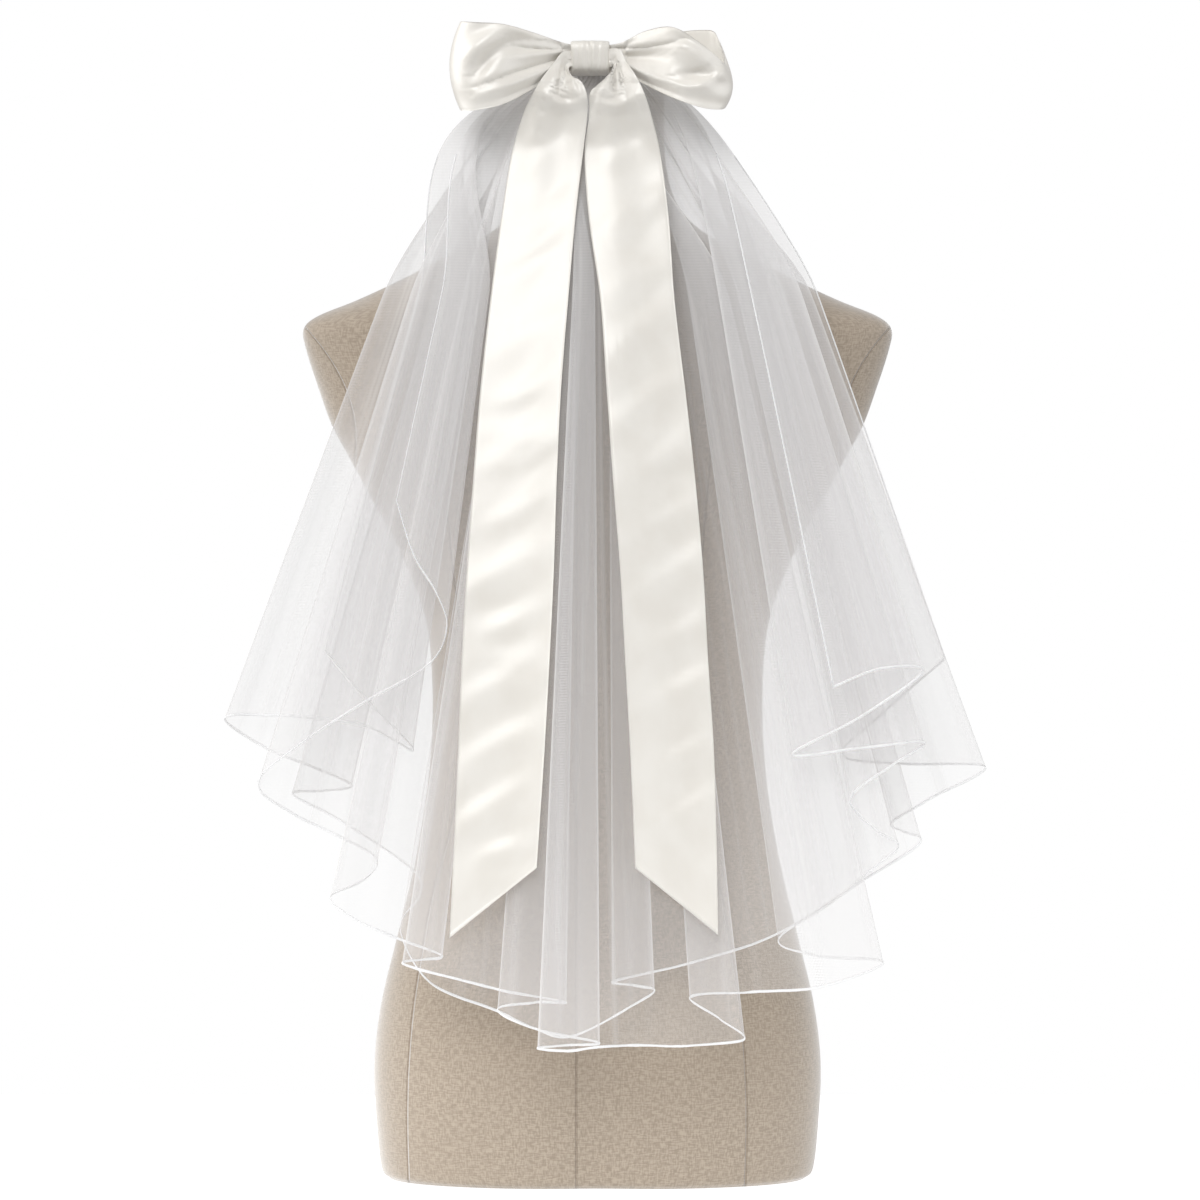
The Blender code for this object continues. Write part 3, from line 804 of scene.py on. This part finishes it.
# Rolled hem: a white cord of stitches
def hem_material(name):
    s = Shader(name)
    stitch = s.noise(s.uv(900.0, 1.0), 1.0, 1.0)
    twist = s.wave(s.uv(1.0, 0.4), 420.0, 1.5)
    colour = s.mix(stitch, (0.84, 0.84, 0.85, 1.0), (0.94, 0.94, 0.94, 1.0))
    normal = s.bump(twist, 0.5, 0.0004)
    return s.finish(s.principled(colour, 0.6, {"Normal": normal, "Sheen Weight": 0.2}))


# Satin: long floats across the strip, a soft lustre and slight cloudiness
def satin_material(name, base, dim):
    s = Shader(name)
    floats = s.noise(s.uv(260.0, 3800.0), 1.0, 2.0)
    threads = s.wave(s.uv(1.0, 1.0), 900.0, 0.6, bands_direction="DIAGONAL")
    cloud = s.noise(s.uv(38.0, 30.0), 1.0, 3.0)
    colour = s.mix(s.ramp(cloud, 0.3, 0.7), dim, base)
    height = s.math("MULTIPLY_ADD", threads, 0.5, floats)
    rough = s.ramp(cloud, 0.25, 0.75, 0.30, 0.37)
    more = {
        "Normal": s.bump(height, 0.10, 0.0002),
        "Specular IOR Level": 0.9,
        "Sheen Weight": 0.1,
        "Sheen Roughness": 0.35,
        "Anisotropic": 0.35,
    }
    return s.finish(s.principled(colour, rough, more))


# Linen: plain weave with slubs, and stitched seams down the back and round the armholes
def linen_material(name):
    s = Shader(name)
    warp = s.noise(s.uv(1050.0, 240.0), 1.0, 1.0)
    weft = s.noise(s.uv(240.0, 1050.0), 1.0, 1.0)
    slub = s.noise(s.uv(55.0, 900.0), 1.0, 2.0)
    cloud = s.noise(s.uv(10.0, 9.0), 1.0, 3.0)
    weave = s.math("ADD", warp, weft)
    seam = seam_lines(s)
    dark, light = (0.310, 0.257, 0.202, 1.0), (0.435, 0.366, 0.293, 1.0)
    colour = s.mix(s.ramp(weave, 0.75, 1.25), dark, light)
    colour = s.mix(s.ramp(slub, 0.55, 0.8, 0.0, 0.30), colour, (0.46, 0.395, 0.325, 1.0))
    colour = s.mix(s.ramp(cloud, 0.35, 0.65, 0.0, 0.16), colour, (0.335, 0.275, 0.216, 1.0))
    colour = s.mix(s.math("MULTIPLY", seam, 0.36), colour, (0.20, 0.15, 0.11, 1.0))
    height = s.math("MULTIPLY_ADD", slub, 0.4, weave)
    normal = s.bump(height, 0.30, 0.0005)
    normal = s.bump(s.math("MULTIPLY", seam, -1.0), 0.7, 0.0012, normal)
    more = {
        "Normal": normal,
        "Specular IOR Level": 0.2,
        "Sheen Weight": 1.0,
        "Sheen Roughness": 0.4,
    }
    return s.finish(s.principled(colour, 0.9, more))


# Seams of the cover: the middle, one on each side of it, and the armholes, as 1 on the line
def seam_lines(s):
    where = s.add("ShaderNodeTexCoord").outputs["Object"]
    part = s.add("ShaderNodeSeparateXYZ", {0: where})
    x, z = part.outputs[0], part.outputs[2]
    curve = s.add("ShaderNodeFloatCurve", {1: s.math("MULTIPLY", z, 1.0 / SEAM_TOP)})
    line = curve.mapping.curves[0]
    line.points[0].location = (0.0, SEAM_SHARES[0][1])
    line.points[1].location = (1.0, SEAM_SHARES[-1][1])
    for height, share in SEAM_SHARES[1:-1]:
        line.points.new(height, share)
    curve.mapping.update()
    total = None
    for side in (-1.0, 0.0, 1.0):
        place = s.math("MULTIPLY_ADD", curve.outputs[0], side * SEAM_ACROSS, SEAM_MIDDLE)
        off = s.math("ABSOLUTE", s.math("SUBTRACT", x, place))
        seam = s.ramp(off, *SEAM_FADE, 1.0, 0.0)
        total = seam if total is None else s.math("MAXIMUM", total, seam)
    up = s.math("SUBTRACT", z, ARMHOLE_LOW)
    lean = s.math("MULTIPLY_ADD", up, ARMHOLE_CURVE, ARMHOLE_LEAN)
    slope = s.math("MULTIPLY_ADD", up, lean, ARMHOLE_ACROSS)
    off = s.math("ABSOLUTE", s.math("SUBTRACT", s.math("ABSOLUTE", x), slope))
    arm = s.math("MULTIPLY", s.ramp(off, *SEAM_FADE, 1.0, 0.0), s.ramp(z, *ARMHOLE_START))
    return s.math("MAXIMUM", total, arm)


# The floor glows, so that it is as white as the ground behind and bears no shadow
def floor_material(name):
    s = Shader(name)
    where = s.add("ShaderNodeTexCoord").outputs["Object"]
    cloud = s.noise(where, 2.0, 2.0)
    colour = s.mix(cloud, (0.28, 0.28, 0.28, 1.0), (0.30, 0.30, 0.30, 1.0))
    more = {
        "Specular IOR Level": 0.0,
        "Emission Color": (1.0, 1.0, 1.0, 1.0),
        "Emission Strength": FLOOR_GLOW,
    }
    return s.finish(s.principled(colour, 0.9, more))


# Dress form: rings from bottom to top, each starting and ending on the middle of the veil's side
def form_grid():
    rows = smooth_rows(FORM, FORM_STEPS)
    n = FORM_SEGMENTS
    angle = 2 * math.pi * np.arange(n + 1) / n - math.pi / 2
    c, s = np.cos(angle), np.sin(angle)
    c[[0, n]] = 0.0
    grid = np.zeros((len(rows), n + 1, 3))
    for i, (height, half, back, front, square) in enumerate(rows):
        x = (half - FORM_INSET) * np.sign(c) * np.abs(c) ** (2 / square)
        depth = np.where(s > 0, front - FORM_INSET, -back - FORM_INSET)
        y = depth * np.sign(s) * np.abs(s) ** (2 / square)
        low = max(0.0, 1 - height / FORM_CLEFT_HEIGHT)
        y += np.where(s < 0, FORM_CLEFT * low * np.exp(-((x / FORM_CLEFT_WIDTH) ** 2)), 0.0)
        grid[i] = np.stack([x, y, np.full(n + 1, height)], axis=-1)
    return grid


def build_form(material):
    grid = form_grid()
    m, n = grid.shape[:2]
    girth = np.linalg.norm(np.diff(grid, axis=1), axis=2)
    around = np.concatenate([np.zeros((m, 1)), np.cumsum(girth, axis=1)], axis=1)
    around = around.mean(axis=0)[None, :] * np.ones((m, 1))
    uv = np.stack([around, grid[:, :, 2]], axis=-1).reshape(-1, 2)
    points = grid.reshape(-1, 3)
    faces = [list(f) for f in quads(m, n)[:, ::-1]]
    low, high = len(points), len(points) + 1
    ends = [(0.0, 0.0, grid[0, 0, 2]), (0.0, 0.0, grid[-1, 0, 2] + FORM_CAP)]
    points = np.vstack([points, ends])
    uv = np.vstack([uv, np.zeros((2, 2))])
    top = (m - 1) * n
    for k in range(n - 1):
        faces.append([k + 1, k, low])
        faces.append([top + k, top + k + 1, high])
    made = add_mesh("form_linen", points, faces, material, uv)
    weld(made)
    return made


def weld(thing):
    work = bmesh.new()
    work.from_mesh(thing.data)
    bmesh.ops.remove_doubles(work, verts=work.verts, dist=1e-6)
    bmesh.ops.recalc_face_normals(work, faces=work.faces)
    work.to_mesh(thing.data)
    work.free()


def build_band(material):
    turns = np.radians(np.linspace(-BAND_TURN, BAND_TURN, 49))
    across, depth = gather_line(SEAM_GAP + BAND_THICK / 2, turns)
    heights = np.linspace(BAND_HIGH, BAND_LOW, 17)
    grid = np.array([[(x, y, z) for z in heights] for x, y in zip(across, depth)])
    points, faces = strip_mesh(grid, BAND_THICK - 0.2)
    uv = np.stack([grid[:, :, 0], grid[:, :, 2]], axis=-1).reshape(-1, 2)
    return add_mesh("band_satin", points, faces, material, np.vstack([uv, uv]))


# A narrow hem along an edge: rings about the edge, flat in the cloth
def hem_along(edge, inward, normal, half_wide, half_thick, seed, uneven):
    rng = np.random.default_rng(seed)
    m = len(edge)
    ring = HEM_RING
    rough = np.convolve(rng.normal(0.0, 1.0, m + 4), np.ones(5) / 5, "valid")
    shift = np.convolve(rng.normal(0.0, 1.0, m + 8), np.ones(9) / 9, "valid")
    wide = half_wide * (1 + HEM_ROUGH * uneven * rough)
    centre = edge + inward * (half_wide * (HEM_OFF + HEM_SHIFT * uneven * shift))[:, None]
    angle = 2 * math.pi * np.arange(ring) / ring
    points = (
        centre[:, None, :]
        + inward[:, None, :] * (wide[:, None] * np.cos(angle)[None, :])[:, :, None]
        + normal[:, None, :] * (half_thick * np.sin(angle))[None, :, None]
    )
    uv = np.stack(np.meshgrid(run_along(edge), angle, indexing="ij"), axis=-1)
    faces = []
    for i in range(m - 1):
        for k in range(ring):
            a, b = i * ring + k, i * ring + (k + 1) % ring
            faces.append([a, b, b + ring, a + ring])
    faces.append(list(range(ring))[::-1])
    faces.append([(m - 1) * ring + k for k in range(ring)])
    return points.reshape(-1, 3), faces, uv.reshape(-1, 2)


def build_tier(name, hem_table, off_neck, material, hem_look, seed):
    grid, along, fall, hem = veil_surface(hem_table, off_neck)
    thinning = np.exp(-np.maximum(fall - UPRIGHT, 0.0) / COVER_LENGTH)
    cover = COVER_LOW + (COVER_HIGH - COVER_LOW) * thinning
    crest = crest_of(grid, hem, CREST_HALF_WIDTH)
    cover += CREST_COVER * crest * eased((fall - CREST_START) / CREST_LENGTH)
    cover += gather_lines(along, fall, seed)
    uv = np.stack([along[:, None] + 0 * fall, fall], axis=-1).reshape(-1, 2)
    values = {"cover": np.minimum(cover, COVER_MOST)}
    sheet = add_mesh(name, grid, quads(*grid.shape[:2]), material, uv, values)
    normal = normals_of(grid)
    side = slice(EDGE_FIRST_ROW, None)
    edges = (
        ("hem", grid[:, -1], grid[:, -2], normal[:, -1], HEM_HALF, 1.0),
        ("edge_left", grid[0, side], grid[1, side], normal[0, side], EDGE_HALF, 0.0),
        ("edge_right", grid[-1, side], grid[-2, side], normal[-1, side], EDGE_HALF, 0.0),
    )
    pieces = []
    for k, (tag, edge, inner, out, half, uneven) in enumerate(edges):
        made = hem_along(edge, unit(inner - edge), out, *half, seed + k, uneven)
        pieces.append(add_mesh(f"{name}_{tag}", *made[:2], hem_look, made[2]))
    return sheet, pieces


# Places on a strip's cloth, for its front and then its back: across it, and the run down one line
def strip_uv(wide, line):
    down, across = np.meshgrid(run_along(line), wide[0], indexing="ij")
    uv = np.stack([across, down], axis=-1).reshape(-1, 2)
    return np.vstack([uv, uv])


def build_loop(name, table, creases, material):
    rows = smooth_rows(table, LOOP_STEPS)
    count = len(rows)
    w = np.linspace(-1.0, 1.0, LOOP_COLUMNS + 1)[None, :]
    across, top, bottom, depth, cup = (rows[:, k][:, None] for k in range(5))
    off_knot = np.abs(across - KNOT_ACROSS)
    out = np.sign(across - KNOT_ACROSS)
    open_share = np.minimum(1.0, off_knot / LOOP_OPEN_BY)
    height = (top + bottom) / 2 - w * (top - bottom) / 2
    place = np.arange(count)[:, None] / (count - 1.0)
    front = 1 - eased((place - LOOP_FRONT_END) / LOOP_FRONT_FADE)
    clear_of_knot = eased((off_knot - LOOP_KNOT_CLEAR) / LOOP_KNOT_FADE)
    pinch = LOOP_CREASE * (1 - 0.6 * open_share) * np.cos(LOOP_WAVES * math.pi * w)
    seen_x = across + out * cup * (1 - w * w)
    push = crease_push(seen_x, height, creases) * front * clear_of_knot
    y = depth + pinch * front * (place > LOOP_PINCH_START) - push
    x, z = at_depth(seen_x, height, y)
    grid = np.stack([x, y, z], axis=-1)
    points, faces = strip_mesh(grid, SATIN)
    uv = strip_uv(w * LOOP_HALF_CLOTH, grid[:, 0])
    return add_mesh(name, points, faces, material, uv)


def build_knot(material):
    middle_y = (KNOT_BACK + KNOT_FRONT) / 2
    half_y = (KNOT_BACK - KNOT_FRONT) / 2
    middle_x, middle_z = at_depth(KNOT_ACROSS, KNOT_HEIGHT, KNOT_FRONT)
    t = np.linspace(-1.0, 1.0, KNOT_COLUMNS + 1)[:, None]
    angle = 2 * math.pi * np.arange(KNOT_SEGMENTS)[None, :] / KNOT_SEGMENTS
    c, s = np.cos(angle), np.sin(angle)
    y = np.sign(c) * np.abs(c) ** KNOT_SQUARE
    z = np.sign(s) * np.abs(s) ** KNOT_SQUARE
    puff = KNOT_PUFF * (1 - t * t)
    ruche = np.zeros_like(t * c)
    for place, width, rise in KNOT_PLEATS:
        wander = place + KNOT_WANDER * np.sin(2.3 * angle + 5 * place)
        ruche += rise * np.exp(-(((t - wander) / width) ** 2))
    ruche *= np.clip((1 - np.abs(t)) / KNOT_RIM, 0.0, 1.0)
    front = np.clip((0.3 - c) / 0.5, 0.0, 1.0)
    swell = (puff + ruche) * front
    edge = np.clip((np.abs(t) - 1 + KNOT_EDGE) / KNOT_EDGE, 0.0, 1.0) ** 2
    thick = KNOT_THICK
    sag = KNOT_SAG * np.abs(t) ** 3 * front
    outer_y = middle_y + y * (half_y + swell - sag - 0.5 * thick * edge)
    outer_z = middle_z + z * (KNOT_HALF_HEIGHT + puff + 0.15 * ruche * front - 0.5 * thick * edge)
    inner_y = middle_y + y * (half_y + puff * front - sag - thick + 0.35 * thick * edge)
    inner_z = middle_z + z * (KNOT_HALF_HEIGHT + puff - thick + 0.35 * thick * edge)
    x = middle_x + t * KNOT_HALF_WIDTH + 0 * c
    outer = np.stack([x, outer_y, outer_z], axis=-1)
    inner = np.stack([x, inner_y, inner_z], axis=-1)
    ring = np.concatenate([outer, inner[::-1]])
    m, n = ring.shape[:2]
    k, j = np.meshgrid(np.arange(m), np.arange(n), indexing="ij")
    here, after = k * n, (k + 1) % m * n
    beside = (j + 1) % n
    corners = [here + j, here + beside, after + beside, after + j]
    faces = np.stack(corners, axis=-1).reshape(-1, 4)
    points = ring.reshape(-1, 3)
    if signed_volume(points, faces) < 0:
        faces = faces[:, ::-1]
    around = np.broadcast_to(run_along(outer[0]), ring.shape[:2])
    uv = np.stack([ring[:, :, 0], around], axis=-1).reshape(-1, 2)
    return add_mesh("bow_knot", points, faces, material, uv)


def build_tail(name, table, creases, material):
    rows = smooth_rows(table, TAIL_STEPS)
    radius = NECK_RADIUS + BAND_THICK + TAIL_OFF
    lx, lz, rx, rz, proud = (rows[:, k][:, None] for k in range(5))
    w = np.linspace(0.0, 1.0, TAIL_COLUMNS + 1)[None, :]
    across, height = lx + (rx - lx) * w, lz + (rz - lz) * w
    drop = np.maximum(GATHER_TOP - height, 0.0)
    pleat = TAIL_PLEAT * np.exp(-drop / TAIL_PLEAT_LENGTH) * np.cos(3 * math.pi * w)
    pleat *= np.minimum(1.0, drop / TAIL_PLEAT_START)
    ridge = TAIL_RIDGE * np.exp(-((across / TAIL_RIDGE_WIDTH) ** 2))
    push = crease_push(across, height, creases)
    push += crumple(across, height, lx[0, 0]) * eased(drop / TAIL_CRUMPLE_START)
    y = -radius + reach(drop) * (TAIL_DEPTH + radius - ridge) - proud + pleat - push
    x, z = at_depth(across, height, y)
    grid = np.stack([x, y, z], axis=-1)
    points, faces = strip_mesh(grid, SATIN)
    uv = strip_uv(w * TAIL_CLOTH, grid[:, TAIL_MIDDLE])
    return add_mesh(name, points, faces, material, uv)


def dress(piece, slot, *nodes):
    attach(piece, "root")
    if nodes:
        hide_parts(*nodes)


# A distant softbox: azimuth to the right of the viewer, elevation and width in degrees
def soft_sun(name, azimuth, elevation, strength, width, tint):
    data = bpy.data.lights.new(name, "SUN")
    data.energy = strength * math.pi
    data.angle = math.radians(width)
    data.color = tint
    thing = bpy.data.objects.new(name, data)
    bpy.context.scene.collection.objects.link(thing)
    thing.rotation_euler = (math.radians(90.0 - elevation), 0.0, math.radians(azimuth))


# Strengths of the lights, and the floor in metres
AMBIENT = 0.40
KEY = 0.56
FILL = 0.28
FRONT = 0.56
FLOOR_HALF = 0.65
FLOOR_GLOW = 0.97
FLOOR_DROP = 0.0005

# Camera at the photograph's angle
camera_data = bpy.data.cameras.new("camera")
camera_data.sensor_width = 36.0
camera_data.lens = 171.43
camera = bpy.data.objects.new("camera", camera_data)
bpy.context.scene.collection.objects.link(camera)
camera.location = (0.00175, -EYE_DISTANCE * MM, EYE_HEIGHT * MM)
camera.rotation_euler = (math.pi / 2, 0.0, 0.0)
bpy.context.scene.camera = camera

# A white studio: the ground is white to the camera alone, and the light comes from all round, with
# a key light from the left, a weaker one from the right and one from the front
world = bpy.data.worlds.new("studio")
world.use_nodes = True
tree = world.node_tree
soft = tree.nodes["Background"]
soft.inputs[0].default_value = (1.0, 1.0, 1.0, 1.0)
soft.inputs[1].default_value = AMBIENT
white = tree.nodes.new("ShaderNodeBackground")
white.inputs[0].default_value = (1.0, 1.0, 1.0, 1.0)
choose = tree.nodes.new("ShaderNodeMixShader")
rays = tree.nodes.new("ShaderNodeLightPath")
tree.links.new(rays.outputs["Is Camera Ray"], choose.inputs[0])
tree.links.new(soft.outputs[0], choose.inputs[1])
tree.links.new(white.outputs[0], choose.inputs[2])
tree.links.new(choose.outputs[0], tree.nodes["World Output"].inputs[0])
bpy.context.scene.world = world
bpy.context.scene.view_settings.view_transform = "Standard"
bpy.context.scene.cycles.transparent_max_bounces = 48
soft_sun("key", -92.0, 14.0, KEY, 50.0, (1.0, 0.99, 0.98))
soft_sun("fill", 76.0, 10.0, FILL, 60.0, (0.99, 0.99, 1.0))
soft_sun("front", -16.0, 38.0, FRONT, 40.0, (1.0, 1.0, 1.0))

floor_data = bpy.data.meshes.new("floor")
corners = [(x * FLOOR_HALF, y * FLOOR_HALF, 0) for x, y in ((-1, -1), (1, -1), (1, 1), (-1, 1))]
floor_data.from_pydata(corners, [], [(0, 1, 2, 3)])
floor_data.materials.append(floor_material("floor_paint"))
floor = bpy.data.objects.new("floor", floor_data)
bpy.context.scene.collection.objects.link(floor)
floor.location = (0.0, 0.0, -FLOOR_DROP)

linen = linen_material("linen_weave")
net_near = tulle_material("tulle_net_near", (0.81, 0.80, 0.80, 1.0))
net_far = tulle_material("tulle_net_far", (0.80, 0.79, 0.79, 1.0))
hem_look = hem_material("hem_stitches")
satin = satin_material("ivory_satin", (0.79, 0.765, 0.715, 1.0), (0.755, 0.725, 0.67, 1.0))
band_cover = satin_material("band_cover", (0.78, 0.75, 0.69, 1.0), (0.74, 0.70, 0.64, 1.0))

dress(build_form(linen), "linen", "dress_form")
dress(build_band(band_cover), "band_satin", "gather_band")
far, far_hems = build_tier("tulle_far", FAR_HEM, FAR_OFF, net_far, hem_look, 11)
near, near_hems = build_tier("tulle_near", NEAR_HEM, NEAR_OFF, net_near, hem_look, 23)
dress(far, "tulle", "veil_far")
dress(near, "tulle", "veil_near")
for piece in far_hems + near_hems:
    dress(piece, "tulle")
loop_left = build_loop("loop_left", LEFT_LOOP, LEFT_LOOP_CREASES, satin)
loop_right = build_loop("loop_right", RIGHT_LOOP, RIGHT_LOOP_CREASES, satin)
knot = build_knot(satin)
ribbon_left = build_tail("ribbon_left", LEFT_TAIL, LEFT_TAIL_CREASES, satin)
ribbon_right = build_tail("ribbon_right", RIGHT_TAIL, RIGHT_TAIL_CREASES, satin)
dress(loop_left, "satin", "bow_loop_left")
dress(loop_right, "satin", "bow_loop_right")
dress(knot, "satin", "knot_band")
dress(ribbon_left, "satin", "tail_left")
dress(ribbon_right, "satin", "tail_right")
